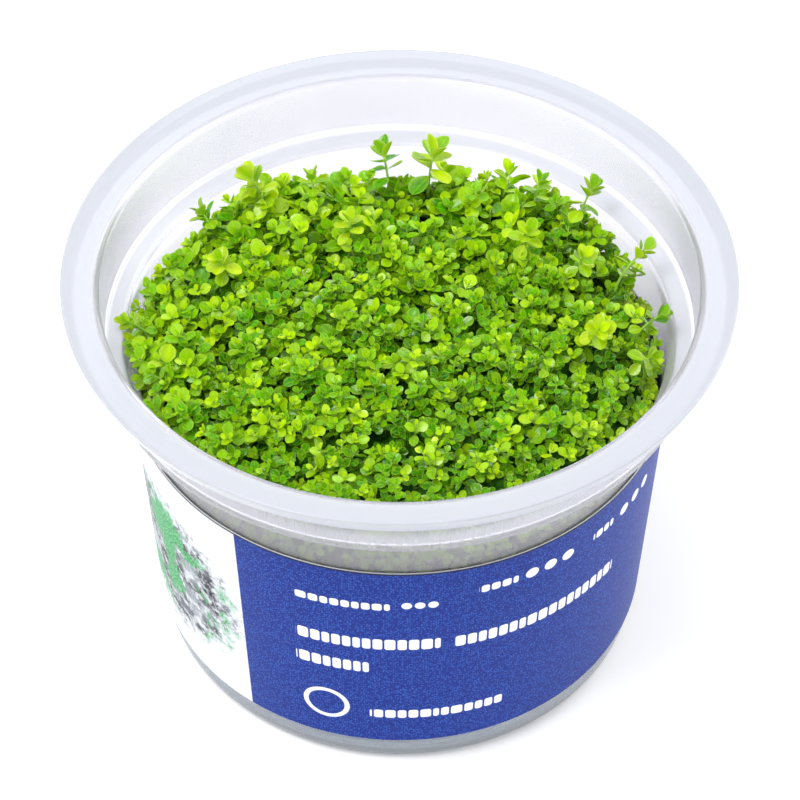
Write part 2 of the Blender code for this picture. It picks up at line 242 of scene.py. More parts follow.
feed(shader, {"Base Color": colour, "Transmission Weight": clear_share, "Normal": skin})

section = divided(rounded(CUP_SECTION), step=4.0)
points = turned(section, CUP_SEGMENTS)
cup = piece("culture_cup", points, ring_faces(len(section) - 2, CUP_SEGMENTS), cup_plastic, sharp=60.0)
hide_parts("cup")
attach(cup, "root")


# The label: one strip of coated paper, printed in a deep blue with a white panel, and wrapped round the
# tapering wall so that its ends nearly meet at the back. The panel's picture is a plain print of pebbles
# and greenery, and the marks are dots and bars.
LABEL_TOP = 48.2
LABEL_FOOT = 6.2
LABEL_STAND_OFF = 0.2
LABEL_THICKNESS = 0.2
LABEL_SEAM = math.radians(6.0)
# The radius at which the strip's printed length is taken.
LABEL_RADIUS = 39.5
# Printed bars: middle along the strip from the front, middle height, half length, half height.
LABEL_BARS = (
    (-8.4, 40.2, 7.0, 0.8), (14.4, 42.4, 3.0, 0.8), (33.0, 42.4, 2.2, 0.8), (-4.8, 31.0, 10.8, 1.25),
    (22.4, 30.8, 14.2, 1.25), (-10.2, 25.0, 5.6, 1.25), (5.8, 13.2, 10.4, 1.0),
)
# Printed dots in rows: height, radius, middles along the strip.
LABEL_DOTS = (
    (42.5, 1.05, (19.6, 22.7, 25.8)),
    (42.4, 1.05, (38.0, 41.2, 44.3)),
    (40.6, 0.75, (1.0, 2.9, 4.8)),
)
# A ring: middle along the strip, height, outer and inner radius.
LABEL_RING = (-11.4, 14.2, 3.7, 2.9)
# The bars are cut into short blocks: blocks in each millimetre, gap and corner radius in millimetres.
BLOCK_SCALE = 0.6
BLOCK_GAP = 0.16
BLOCK_CORNER = 0.42
# The white panel and the picture on it: middle along the strip and up, then half length and half height.
PANEL = (-64.0, 27.0, 39.0, 40.0)
PICTURE = (-45.0, 26.0, 20.0, 15.0)
# A painted shadow, a dark line along the label's top edge where the wall shades it, sets in between these
# heights, to this share.
PAINTED_EDGE_SHADOW = (47.75, 47.95)
PAINTED_EDGE_SHADOW_SHARE = 0.95


def strip(around, up):
    """The label as a closed band, and each point's place on its print: a thin rectangle carried round the
    wall from the seam's left end. The first point of each rectangle is its outer top."""
    share, number = np.meshgrid(np.linspace(0.0, 1.0, around), np.arange(2 * up), indexing="ij")
    angle = math.pi / 2.0 + LABEL_SEAM / 2.0 + share * (2.0 * math.pi - LABEL_SEAM)
    high = np.linspace(LABEL_TOP, LABEL_FOOT, up)
    outer = body_radius(high) + LABEL_STAND_OFF + LABEL_THICKNESS
    radius = np.concatenate((outer, outer[::-1] - LABEL_THICKNESS))[number]
    height = np.concatenate((high, high[::-1]))[number]
    points = np.stack((radius * np.cos(angle), radius * np.sin(angle), height), -1)
    print_place = np.stack((share, (height - LABEL_FOOT) / (LABEL_TOP - LABEL_FOOT)), -1)
    return points.reshape(-1, 3), print_place.reshape(-1, 2)


def band_faces(along, around):
    """Faces of a closed tube of `along` rings of `around` points, with both ends capped by one face."""
    ring, step = np.meshgrid(np.arange(along - 1), np.arange(around), indexing="ij")
    ahead = (step + 1) % around
    near, far = ring * around, (ring + 1) * around
    squares = np.stack((near + step, near + ahead, far + ahead, far + step), -1)
    first, last = np.arange(around)[::-1], np.arange(around) + (along - 1) * around
    return squares.reshape(-1, 4).tolist() + [first.tolist(), last.tolist()]


# Coated label paper, offset printed: a slight gloss over a fine screen of ink. The screen's dots are
# drawn 0.35 mm apart, coarser than real ones, so that they show.
surface = {"Roughness": 0.42, "IOR": 1.45, "Specular IOR Level": 0.18}
label_paper, tree, shader = finish_of("coated_label_paper", surface)
own = add(tree, "UVMap", {}, uv_map="print")
length = (2.0 * math.pi - LABEL_SEAM) * LABEL_RADIUS
scale, offset = (length, LABEL_TOP - LABEL_FOOT, 0.0), (-length / 2.0, LABEL_FOOT, 0.0)
sized = add(tree, "VectorMath", {0: own, 1: scale, 2: offset}, operation="MULTIPLY_ADD")
axes = add(tree, "SeparateXYZ", {0: sized}).node
along, high = axes.outputs["X"], axes.outputs["Y"]


def spot(middle, half, round_by, cut=(0.0, 0.0, 0.0)):
    """How much of a rounded rectangle of ink is at a place: its distance to the rectangle, or to a cut if
    that is nearer, turned to 0 or 1 over a tenth of a millimetre."""
    away = add(tree, "VectorMath", {0: sized, 1: (*middle, 0.0)}, operation="SUBTRACT")
    away = add(tree, "VectorMath", {0: away}, operation="ABSOLUTE")
    beyond = add(tree, "VectorMath", {0: away, 1: (*half, 0.0)}, operation="SUBTRACT")
    beyond = add(tree, "VectorMath", {0: beyond, 1: cut}, operation="MAXIMUM")
    distance = add(tree, "VectorMath", {0: beyond}, "Value", operation="LENGTH")
    limits = {"Value": distance, "From Min": round_by - 0.05, "From Max": round_by + 0.05}
    return add(tree, "MapRange", {**limits, "To Min": 1.0, "To Max": 0.0})


screen = add(tree, "TexVoronoi", {"Vector": sized, "Scale": 2.9, "Randomness": 0.6})
speck = add(tree, "MapRange", {"Value": screen, "From Min": 0.12, "From Max": 0.48})
blue = add(tree, "Mix", {0: speck, 6: "#3466C4", 7: "#042680"}, 2, data_type="RGBA")
pattern = {"W": along, "Scale": BLOCK_SCALE, "Randomness": 0.6}
blocks = add(tree, "TexVoronoi", pattern, voronoi_dimensions="1D", feature="DISTANCE_TO_EDGE")
cut_near = BLOCK_GAP + BLOCK_CORNER
cut = add(tree, "Math", {0: blocks, 1: -1.0 / BLOCK_SCALE, 2: cut_near}, operation="MULTIPLY_ADD")
cut = add(tree, "Math", {0: cut, 1: 0.0}, operation="MAXIMUM")
cut = add(tree, "CombineXYZ", {"X": cut})
*ring_middle, outer, inner = LABEL_RING
disc, hole = (spot(ring_middle, (0.0, 0.0), radius) for radius in (outer, inner))
ink = add(tree, "Math", {0: disc, 1: hole}, operation="SUBTRACT")
for middle_along, middle_high, half_long, half_high in LABEL_BARS:
    half = (half_long - BLOCK_CORNER, half_high - BLOCK_CORNER)
    mark = spot((middle_along, middle_high), half, BLOCK_CORNER, cut)
    ink = add(tree, "Math", {0: ink, 1: mark}, operation="MAXIMUM")
for middle_high, radius, places in LABEL_DOTS:
    for middle_along in places:
        mark = spot((middle_along, middle_high), (0.0, 0.0), radius)
        ink = add(tree, "Math", {0: ink, 1: mark}, operation="MAXIMUM")
blue = add(tree, "Mix", {0: ink, 6: blue, 7: "#EEF1FA"}, 2, data_type="RGBA")

# The white panel's picture: grey pebbles of 5 mm with 10 mm patches of green tufts on them, fading out at
# its edges.
pebbles = {"Vector": sized, "Scale": 0.2, "Randomness": 0.9}
cells = add(tree, "TexVoronoi", pebbles, "Distance")
tints = add(tree, "TexVoronoi", pebbles, "Color")
tint = add(tree, "SeparateColor", {0: tints})
pebble = add(tree, "Mix", {0: tint, 6: "#4A5058", 7: "#A9AFB8"}, 2, data_type="RGBA")
edge = add(tree, "MapRange", {"Value": cells, "From Min": 0.3, "From Max": 0.7})
pebble = add(tree, "Mix", {0: edge, 6: pebble, 7: "#15181E"}, 2, data_type="RGBA")
streak = add(tree, "TexNoise", {"Vector": sized, "Scale": 0.55, "Detail": 7.0, "Roughness": 0.72})
bleached = add(tree, "MapRange", {"Value": streak, "From Min": 0.46, "From Max": 0.62})
pebble = add(tree, "Mix", {0: bleached, 6: pebble, 7: "#D9DDE3"}, 2, data_type="RGBA")
moss = add(tree, "TexNoise", {"Vector": sized, "Scale": 2.4, "Detail": 4.0})
moss_tone = add(tree, "MapRange", {"Value": moss, "From Min": 0.35, "From Max": 0.65})
green = add(tree, "Mix", {0: moss_tone, 6: "#0B7434", 7: "#63C383"}, 2, data_type="RGBA")
moss_field = add(tree, "TexNoise", {"Vector": sized, "Scale": 0.1, "Detail": 4.0, "Roughness": 0.6})
moss_share = add(tree, "MapRange", {"Value": moss_field, "From Min": 0.5, "From Max": 0.53})
picture = add(tree, "Mix", {0: moss_share, 6: pebble, 7: green}, 2, data_type="RGBA")
middle_along, middle_high, half_long, half_high = PICTURE
scale = (1.0 / half_long, 1.0 / half_high, 0.0)
offset = (-middle_along / half_long, -middle_high / half_high, 0.0)
off_middle = add(tree, "VectorMath", {0: sized, 1: scale, 2: offset}, operation="MULTIPLY_ADD")
off_middle = add(tree, "VectorMath", {0: off_middle}, "Value", operation="LENGTH")
ragged = add(tree, "Math", {0: streak, 1: 1.1, 2: off_middle}, operation="MULTIPLY_ADD")
fade = add(tree, "MapRange", {"Value": ragged, "From Min": 1.3, "From Max": 1.55})
panel = add(tree, "Mix", {0: fade, 6: picture, 7: "#E0E3EA"}, 2, data_type="RGBA")

in_panel = spot(PANEL[:2], PANEL[2:], 0.1)
printed = add(tree, "Mix", {0: in_panel, 6: blue, 7: panel}, 2, data_type="RGBA")
# The painted shadow line along the label's top edge: dark navy laid over the print.
limits = {"Value": high, "From Min": PAINTED_EDGE_SHADOW[0], "From Max": PAINTED_EDGE_SHADOW[1], "To Max": PAINTED_EDGE_SHADOW_SHARE}
painted_edge_shadow_share = add(tree, "MapRange", limits)
printed = add(tree, "Mix", {0: painted_edge_shadow_share, 6: printed, 7: "#0C1420"}, 2, data_type="RGBA")
fibre = add(tree, "TexNoise", {"Vector": sized, "Scale": 1.6, "Detail": 5.0})
press = add(tree, "Bump", {"Height": fibre, "Strength": 0.06, "Distance": 0.0002})
feed(shader, {"Base Color": printed, "Normal": press})

AROUND_LABEL = 193
UP_LABEL = 6
points, spread = strip(AROUND_LABEL, UP_LABEL)
label = piece("printed_label", points, band_faces(AROUND_LABEL, 2 * UP_LABEL), label_paper, sharp=40.0)
# The label's back and cut edges are the paper itself, unprinted, with pulp in flocks of 1 mm.
bare_paper, tree, shader = finish_of("bare_label_paper", {"Roughness": 0.7, "Specular IOR Level": 0.3})
here = add(tree, "TexCoord", {}, "Object")
pulp = add(tree, "TexNoise", {"Vector": here, "Scale": 900.0, "Detail": 4.0})
colour = add(tree, "Mix", {0: pulp, 6: "#E2E4E8", 7: "#F4F5F8"}, 2, data_type="RGBA")
feed(shader, {"Base Color": colour})
label.data.materials.append(bare_paper)
step_around = np.tile(np.arange(2 * UP_LABEL), AROUND_LABEL - 1)
bare = np.append(step_around >= UP_LABEL - 1, [True, True]).astype(np.int32)
label.data.polygons.foreach_set("material_index", bare)
uv_map = label.data.uv_layers.new(name="print")
corner = np.zeros(len(label.data.loops), np.int32)
label.data.loops.foreach_get("vertex_index", corner)
uv_map.data.foreach_set("uv", spread[corner].astype(np.float32).ravel())
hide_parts("label")
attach(label, "root")


# The nutrient jelly: agar set in the bottom of the cup, wet and smooth, with nearly water's IOR and a faint
# haze in clouds of 7 mm. The CAD solid's shape is right, so it stays.
surface = {"Roughness": 0.12, "IOR": 1.34, "Transmission Weight": 0.6}
nutrient_agar, tree, shader = finish_of("set_nutrient_agar", surface)
here = add(tree, "TexCoord", {}, "Object")
haze = add(tree, "TexNoise", {"Vector": here, "Scale": 140.0, "Detail": 4.0})
colour = add(tree, "Mix", {0: haze, 6: "#5E96AE", 7: "#8EBCD0"}, 2, data_type="RGBA")
feed(shader, {"Base Color": colour})
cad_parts["nutrient_gel"].material_slots[0].material = nutrient_agar


# The mat: stems and old leaves grown together into one dark tangle, from the jelly up to where the green
# shoots begin; its dark is partly painted shade for the deep gaps under the shoots. It leans on the wall
# except at the back and right, where it has drawn away from it.
CARPET_RADIUS = 39.5
CARPET_EDGE = 55.9
CARPET_RISE = 3.6
CARPET_MIDDLE_Y = -5.0
CARPET_SPREAD = 43.0
# Its shoulder: how far it turns down, and the shares of the radius where it starts and over which it falls.
SHOULDER = (2.4, 0.8, 0.2)
CLUMP_PITCH = 6.8
CLUMP_STRAY = 1.5
CLUMP_RADIUS = 4.3
CLUMP_RISE = 3.3
# A clump's share of the rise: the least, and how much more it can be.
CLUMP_SHARES = (0.55, 0.45)
# The distance between the rows of a grid of triangles, as a share of its pitch.
ROW_SHARE = 0.866
# Gaps between the plants and the wall: direction, half width (degrees) and depth.
CARPET_GAPS = ((92.0, 24.0, 8.2), (8.0, 17.0, 3.4), (152.0, 11.0, 2.4))
# The mat lies this far under the carpet's top and inside its edge and the wall's outer face. Its foot is at
# this height, half way in to this radius.
MAT_SINK = 3.9
MAT_INSET = 1.3
MAT_FROM_WALL = 1.5
MAT_FOOT = 13.4
MAT_FOOT_RADIUS = 36.9
# Its lumps on the top and on the side: height, width.
TOP_LUMPS = (0.7, 0.9)
SIDE_LUMPS = (0.5, 1.2)
MAT_RINGS = 44
MAT_SIDE_RINGS = 14
MAT_AROUND = 180


def bell(angle, middle, width):
    """One in the middle direction and less to both sides: e to the power of minus the squared number of
    widths away from it, in degrees."""
    away = (np.degrees(angle) - middle + 180.0) % 360.0 - 180.0
    return np.exp(-((away / width) ** 2))


def carpet_radius(angle):
    """Radius of the carpet's edge: the inside of the wall, less a smooth bell for each gap."""
    reach = np.full_like(angle, CARPET_RADIUS)
    for middle, width, depth in CARPET_GAPS:
        reach = reach - depth * bell(angle, middle, width)
    return reach


def scatter(column, row, kind):
    """A number from 0 to 1 for a clump's place: the broken-off decimals of a large sine."""
    value = np.sin(12.9898 * column + 78.233 * row + 37.719 * kind) * 43758.5453
    return value - np.floor(value)


def clump(x, y):
    """How far the highest clump stands at each place: one minus the squared distance to its middle, the
    clumps being on a grid of triangles whose points have strayed."""
    row_pitch = CLUMP_PITCH * ROW_SHARE
    least, more = CLUMP_SHARES
    middle_row = np.round(y / row_pitch)
    best = np.zeros_like(x)
    for row_step in (-1, 0, 1):
        row = middle_row + row_step
        shift = 0.5 * (row % 2)
        for column_step in (-1, 0, 1):
            column = np.round(x / CLUMP_PITCH - shift) + column_step
            centre_x = (column + shift) * CLUMP_PITCH + CLUMP_STRAY * (2 * scatter(column, row, 0) - 1)
            centre_y = row * row_pitch + CLUMP_STRAY * (2 * scatter(column, row, 1) - 1)
            away = ((x - centre_x) ** 2 + (y - centre_y) ** 2) / CLUMP_RADIUS**2
            best = np.maximum(best, (least + more * scatter(column, row, 2)) * (1.0 - away))
    return best


def carpet_height(x, y):
    """Height of the carpet's top: a low dome and the clump that stands highest there, turned down at
    its edge."""
    away = (x**2 + (y - CARPET_MIDDLE_Y) ** 2) / CARPET_SPREAD**2
    share = np.hypot(x, y) / carpet_radius(np.arctan2(y, x))
    depth, start, width = SHOULDER
    shoulder = depth * (np.clip(share - start, 0.0, 1.5 * width) / width) ** 2
    return CARPET_EDGE + CARPET_RISE * (1.0 - away) + CLUMP_RISE * clump(x, y) - shoulder


def lumps(x, y, z, size):
    """Smooth uneven relief from -1 to 1: the product and sum of slow sines along three turned axes."""
    a = np.sin((x * 0.83 + y * 0.55) / size) + np.sin((y * 0.91 - z * 0.42) / size + 1.3)
    b = np.sin((z * 0.77 + x * 0.64) / size + 2.1) * np.cos((x * 0.31 - y * 0.95) / size)
    return (a + b) / 3.0


# Old stems and shaded leaves: brown-green threads, dull and damp, in meshes of 1.1 mm and patches of 5 mm.
# The dark patches are partly the stems' own colour and partly painted shade for the gaps under the shoots.
surface = {"Roughness": 0.7, "IOR": 1.4, "Specular IOR Level": 0.12}
tangle, tree, shader = finish_of("old_stem_tangle_painted_shade", surface)
here = add(tree, "TexCoord", {}, "Object")
threads = add(tree, "TexVoronoi", {"Vector": here, "Scale": 900.0, "Randomness": 1.0})
patches = add(tree, "TexNoise", {"Vector": here, "Scale": 220.0, "Detail": 4.0})
thread_share = add(tree, "MapRange", {"Value": threads, "From Min": 0.05, "From Max": 0.7})
# Dark patches: partly the old stems' own colour, partly painted shade.
stem_patches_and_painted_shade = add(tree, "Mix", {0: patches, 6: "#0F2E06", 7: "#2A5E0A"}, 2, data_type="RGBA")
colour = add(tree, "Mix", {0: thread_share, 6: "#43781A", 7: stem_patches_and_painted_shade}, 2, data_type="RGBA")
relief = add(tree, "Bump", {"Height": threads, "Strength": 0.8, "Distance": 0.0006})
feed(shader, {"Base Color": colour, "Normal": relief})

angle = np.arange(MAT_AROUND) * 2.0 * math.pi / MAT_AROUND
edge = carpet_radius(angle) - MAT_INSET
share = np.linspace(0.0, 1.0, MAT_RINGS)[1:]
x = share[:, None] * edge[None] * np.cos(angle)[None]
y = share[:, None] * edge[None] * np.sin(angle)[None]
rise, width = TOP_LUMPS
top = carpet_height(x, y) - MAT_SINK + rise * lumps(x, y, np.zeros_like(x), width)
down = np.linspace(0.0, 1.0, MAT_SIDE_RINGS)[1:]
side_z = top[-1][None] + (MAT_FOOT - top[-1][None]) * down[:, None]
side_edge = edge[None] + (MAT_FOOT_RADIUS - edge[None]) * (down[:, None] > 0.9) * 0.5
side_edge = np.minimum(side_edge, body_radius(side_z) - MAT_FROM_WALL)
rise, width = SIDE_LUMPS
side_edge = side_edge + rise * lumps(side_edge * np.cos(angle), side_edge * np.sin(angle), side_z, width)
side_x, side_y = side_edge * np.cos(angle)[None], side_edge * np.sin(angle)[None]
rings = np.stack((np.vstack((x, side_x)), np.vstack((y, side_y)), np.vstack((top, side_z))), -1)
crown = carpet_height(np.zeros(1), np.zeros(1))[0] - MAT_SINK
points = np.vstack(([(0.0, 0.0, crown)], rings.reshape(-1, 3), [(0.0, 0.0, MAT_FOOT)]))
mat = piece("matted_stems", points, ring_faces(len(rings), MAT_AROUND), tangle)
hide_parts("leaf_carpet")
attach(mat, "root")


# The green carpet: close-set shoots of dwarf baby tears, each a thin pale stem with crossed pairs of small
# round leaves that open towards the light, the youngest pairs at its tip. They grew out of the mat.
SHOOT_PITCH = 1.85
SHOOT_STRAY = 0.65
SHOOT_INSET = 0.6
SHOOT_HEIGHT = 7.0
SHOOT_STEM = 0.32
# The room that a bright shoot has round it, and how far down a hollow goes.
BRIGHT_ROOM = 1.4
HOLLOW_DEPTH = 2.2
# A leaf's length in the bed's middle, its growth with the share of the way to the back and that squared,
# its spread, half the bed, and how far the back is turned to the left.
LEAF_LENGTH = 2.28
LEAF_GROWTH = (0.4, 0.14)
LEAF_SPREAD = (0.64, 1.2)
BED_HALF = 35.0
BED_TURN = 0.35
# How far a shoot leans, as a slope: at random, outwards at the edge, away from rising ground, and forwards.
LEAN = (0.45, 0.55, 0.45, 0.16)
# Where shoots hang over the edge, left and right: middle direction and width in degrees, and how far.
HANGING = ((192.0, 38.0, 2.6), (4.0, 26.0, 2.8))
# At the back a share of the shoots stands taller, by this much.
TALL_SHARE = 0.36
TALL_BY = (0.6, 4.2)
# Leaf pairs on a shoot from its tip down: distance from the tip and size, in leaf lengths, and the angle
# in degrees between leaf and stem.
PAIRS = ((0.02, 0.42, 24.0), (0.20, 0.72, 46.0), (0.48, 0.95, 63.0), (0.88, 1.0, 75.0), (1.38, 0.95, 86.0))
# Shoots that stand out from the rest: x, y, leaf length, youth from 0 to 1, turn in degrees.
BRIGHT_SHOOTS = (
    (-15.7, 19.9, 2.3, 0.95, 80), (-23.6, 16.1, 2.2, 0.9, 60), (-23.2, 10.5, 2.3, 0.85, 20),
    (-15.4, 8.6, 2.8, 0.6, 35), (-7.7, 13.0, 2.5, 0.95, 10), (-8.5, 9.5, 2.7, 0.75, 70),
    (-25.9, -0.4, 3.0, 0.85, 25), (-25.6, -2.3, 2.9, 0.8, 60), (-16.3, 2.1, 2.3, 0.85, 45),
    (-9.5, -2.8, 2.3, 0.8, 80), (-13.5, 4.6, 2.1, 0.7, 15), (-10.2, 11.4, 2.4, 0.85, 50),
    (-5.0, 2.9, 2.5, 0.8, 0), (-1.3, -1.3, 2.3, 0.75, 30), (-30.2, 4.0, 2.2, 0.8, 10),
    (-28.8, 10.3, 2.1, 0.7, 70), (-31.4, -1.8, 2.4, 0.7, 15), (-34.2, -10.6, 2.9, 0.85, 40),
    (-37.4, -2.6, 2.2, 0.75, 0), (-20.8, -7.2, 2.3, 0.75, 30), (-16.1, -8.3, 2.2, 0.7, 60),
    (-23.5, -13.3, 2.3, 0.7, 20), (-29.0, -14.7, 2.2, 0.65, 80), (-10.1, -12.0, 2.9, 0.9, 70),
    (-2.5, -10.7, 2.5, 0.9, 20), (-10.8, -20.9, 2.7, 0.9, 30), (-11.6, -27.6, 2.2, 0.85, 10),
    (-15.5, -24.9, 2.4, 0.8, 50), (-12.7, -30.3, 2.2, 0.95, 60), (-6.4, -25.8, 1.9, 0.8, 5),
    (-2.0, -20.1, 2.0, 0.75, 45), (2.4, -23.8, 2.0, 0.8, 0), (2.9, -28.9, 2.2, 0.9, 40),
    (-7.8, -33.5, 1.9, 0.7, 20), (-21.2, -24.7, 2.3, 0.75, 35), (-24.4, -25.3, 2.2, 0.7, 80),
    (19.4, 16.0, 2.7, 0.8, 25), (27.4, 10.5, 2.5, 0.85, 50), (10.4, 4.3, 2.4, 0.75, 60),
    (8.9, 0.2, 2.3, 0.8, 20), (14.8, 10.2, 2.3, 0.8, 70), (17.4, 1.8, 2.0, 0.85, 0),
    (21.8, -1.6, 2.3, 0.85, 30), (25.5, 3.3, 2.2, 0.75, 60), (28.2, -6.4, 2.8, 0.92, 5),
    (25.3, -8.7, 2.4, 0.7, 30), (20.2, -7.3, 2.2, 0.5, 60), (32.1, -13.0, 2.0, 0.75, 20),
    (29.5, -20.8, 2.4, 0.95, 40), (26.2, -23.1, 1.9, 0.75, 70), (18.9, -22.0, 2.2, 0.85, 10),
    (15.9, -24.4, 2.0, 0.8, 50), (14.3, -27.4, 2.0, 0.7, 20), (22.2, -26.6, 2.1, 0.85, 60),
    (15.4, -14.4, 2.2, 0.7, 0), (10.4, -8.2, 2.2, 0.7, 30), (4.5, -5.5, 2.3, 0.7, 65),
    (6.9, -17.7, 2.1, 0.7, 20), (11.5, -31.7, 1.9, 0.75, 40), (5.8, -32.3, 1.9, 0.8, 5),
    (0.8, -32.1, 1.9, 0.75, 60), (34.3, -5.2, 2.0, 0.6, 30), (35.1, -17.8, 2.0, 0.8, 10),
    (3.1, 23.1, 2.4, 0.75, 20), (-4.3, 19.8, 2.5, 0.8, 60), (8.5, 17.0, 2.3, 0.7, 40),
    (-10.8, 22.5, 2.4, 0.75, 30), (-20.1, 22.5, 2.2, 0.7, 60), (14.0, 22.8, 2.2, 0.7, 10),
    (24.8, 21.1, 2.3, 0.75, 50), (-1.2, 10.3, 2.4, 0.8, 45), (4.6, 7.6, 2.3, 0.75, 10),
)
# Hollows between the clumps, where few shoots reach the light: x, y, radius.
HOLLOWS = (
    (12.1, 11.0, 2.2), (5.2, -12.4, 2.0), (8.3, -20.0, 2.2), (-1.1, -23.9, 1.6), (11.3, -32.7, 1.8),
    (27.9, -9.5, 2.6), (22.3, -17.3, 2.2), (9.7, -24.1, 1.6), (-25.8, -7.9, 2.4), (-0.7, 25.1, 2.0),
    (-7.1, -30.3, 1.8), (-10.6, 9.3, 1.5), (-13.7, -4.8, 1.8), (-17.5, -15.4, 1.8), (17.9, -5.6, 1.6),
    (30.3, 5.2, 1.8), (-36.2, 2.5, 1.8), (1.6, 5.4, 1.7), (16.1, -30.3, 1.8),
)
# Withered spots, where leaves have turned red-brown: x, y, radius.
WITHERED = ((34.6, 4.6, 2.2), (9.6, -24.6, 1.3))
# A leaf's rings of points: their shares of its length, and where a ring's points are across it, from -1 to
# 1, the last one below. The leaves in sight have the finer grid, and small and low ones the plain one.
FINE_LEAF = (np.array((0.08, 0.27, 0.53, 0.79, 0.95)), np.array((-1.0, -0.5, 0.0, 0.5, 1.0, 0.0)))
PLAIN_LEAF = (np.array((0.10, 0.40, 0.74, 0.94)), np.array((-1.0, 0.0, 1.0, 0.0)))
LEAF_THICKNESS = 0.13
# How far out a leaf may reach at each height before the cup's wall presses it back.
WALL_HEIGHTS = (13.0, 56.4, 57.4, 58.4, 59.2, 67.6, 69.5)
WALL_INSIDE = (37.8, 40.1, 41.2, 43.6, 44.1, 44.2, 49.0)
random = np.random.default_rng(seed=47)


def unit(vectors):
    """Each vector over its own length."""
    return vectors / np.linalg.norm(vectors, axis=-1, keepdims=True)


def bow(foot, knee, tip, share):
    """A point on each stem and its direction there: a quadratic curve from foot to tip, drawn to the knee."""
    share = np.asarray(share)[:, None]
    place = foot * (1 - share) ** 2 + 2 * knee * share * (1 - share) + tip * share**2
    heading = 2 * (knee - foot) * (1 - share) + 2 * (tip - knee) * share
    return place, unit(heading)


def leaf_sockets(place, heading, turn, opening, step):
    """Where two opposite leaves grow from a stem: their roots, the directions they point, and the way their
    upper faces look, which is towards the stem's tip. Opening, the angle between leaf and stem, strays by
    a sixth."""
    side = unit(np.array((1.0, 0.0, 0.0)) - heading * heading[:, :1])
    other = np.cross(heading, side)
    found = []
    for half in (0.0, math.pi):
        swing = (turn + half)[:, None]
        wide = (opening * (1.0 + 0.16 * random.standard_normal(len(turn))))[:, None]
        outward = side * np.cos(swing) + other * np.sin(swing)
        along = heading * np.cos(wide) + outward * np.sin(wide)
        up = heading * np.sin(wide) - outward * np.cos(wide)
        root = place + outward * step
        found.append((root, along, up))
    return [np.concatenate(parts) for parts in zip(*found)]


def blades(grid, root, along, up, length, width, bend, dish):
    """Leaves as closed thin shells. Along a leaf its half width follows the sine of pi times the share to
    the power 1.25, raised to 0.6, which is narrow at the foot and round at the tip. Its height bends with
    the squared share and is dished with the distance from the midrib to the power 1.4. The last point of
    each ring is below the midrib, a leaf's thickness down."""
    stations, across = grid
    lower = np.append(np.zeros(len(across) - 1), 1.0)
    sideways = np.cross(up, along)
    outline = np.sin(math.pi * stations**1.25) ** 0.6
    half = 0.5 * width[:, None, None] * outline[None, :, None]
    y = half * across
    x = np.broadcast_to((length[:, None] * stations)[..., None], y.shape)
    z = (bend * length)[:, None, None] * stations[None, :, None] ** 2
    z = z + dish[:, None, None] * half * np.abs(across) ** 1.4
    z = z - LEAF_THICKNESS * outline[None, :, None] * lower
    body = root[:, None, None] + x[..., None] * along[:, None, None] + y[..., None] * sideways[:, None, None]
    body = body + z[..., None] * up[:, None, None]
    start = root - 0.05 * up
    end = root + length[:, None] * along + (bend * length)[:, None] * up
    return np.concatenate((start[:, None], body.reshape(len(root), -1, 3), end[:, None]), 1)


def pressed(points):
    """Points drawn in to where the cup's wall stops them at their height."""
    limit = np.interp(points[..., 2], WALL_HEIGHTS, WALL_INSIDE)
    out = np.hypot(points[..., 0], points[..., 1])
    scale = np.minimum(1.0, limit / np.maximum(out, 1e-6))
    return points * np.stack((scale, scale, np.ones_like(scale)), -1)


def leaf_piece(name, grid, points, own, finish):
    """A mesh of many leaves. What the leaf's finish reads goes with each point: youth, shade and wither are
    the leaf's own, while rim, reach and under say where on the leaf the point is."""
    stations, across = grid
    count, each = points.shape[:2]
    template = ring_faces(len(stations), len(across))
    squares = np.array([face for face in template if len(face) == 4])
    threes = np.array([face for face in template if len(face) == 3])
    shift = (np.arange(count) * each)[:, None, None]
    faces = (squares[None] + shift).reshape(-1, 4).tolist() + (threes[None] + shift).reshape(-1, 3).tolist()
    made = piece(name, pressed(points).reshape(-1, 3), faces, finish, sharp=70.0)
    lower = np.append(np.zeros(len(across) - 1), 1.0)
    rim = np.concatenate(([0.3], np.tile(np.abs(across), len(stations)), [1.0]))
    reach = np.concatenate(([0.0], np.repeat(stations, len(across)), [1.0]))
    under = np.concatenate(([0.0], np.tile(lower, len(stations)), [0.0]))
    youth, shade, wither = (values[:, None] for values in own)
    read = {"youth": youth, "shade": shade, "wither": wither, "rim": rim, "reach": reach, "under": under}
    for title, values in read.items():
        layer = made.data.attributes.new(title, "FLOAT", "POINT")
        layer.data.foreach_set("value", np.broadcast_to(values, (count, each)).astype(np.float32).ravel())
    return made


def stems(foot, knee, tip, thick, steps=3, around=4):
    """Round stems: a ring of points carried along each stem's curve, with a pole at both ends. They lose
    35% of their thickness on the way up."""
    angle = -np.arange(around) * 2.0 * math.pi / around
    rows = []
    for share in np.linspace(0.0, 1.0, steps):
        place, heading = bow(foot, knee, tip, np.full(len(foot), share))
        side = unit(np.array((1.0, 0.0, 0.0)) - heading * heading[:, :1])
        other = np.cross(heading, side)
        radius = (0.5 * thick * (1.0 - 0.35 * share))[:, None, None]
        ring = side[:, None] * np.cos(angle)[None, :, None] + other[:, None] * np.sin(angle)[None, :, None]
        rows.append(place[:, None] + radius * ring)
    points = np.concatenate((foot[:, None], *rows, tip[:, None]), 1)
    template = ring_faces(steps, around)
    shift = np.arange(len(foot)) * points.shape[1]
    faces = [[number + start for number in face] for start in shift.tolist() for face in template]
    return pressed(points).reshape(-1, 3), faces


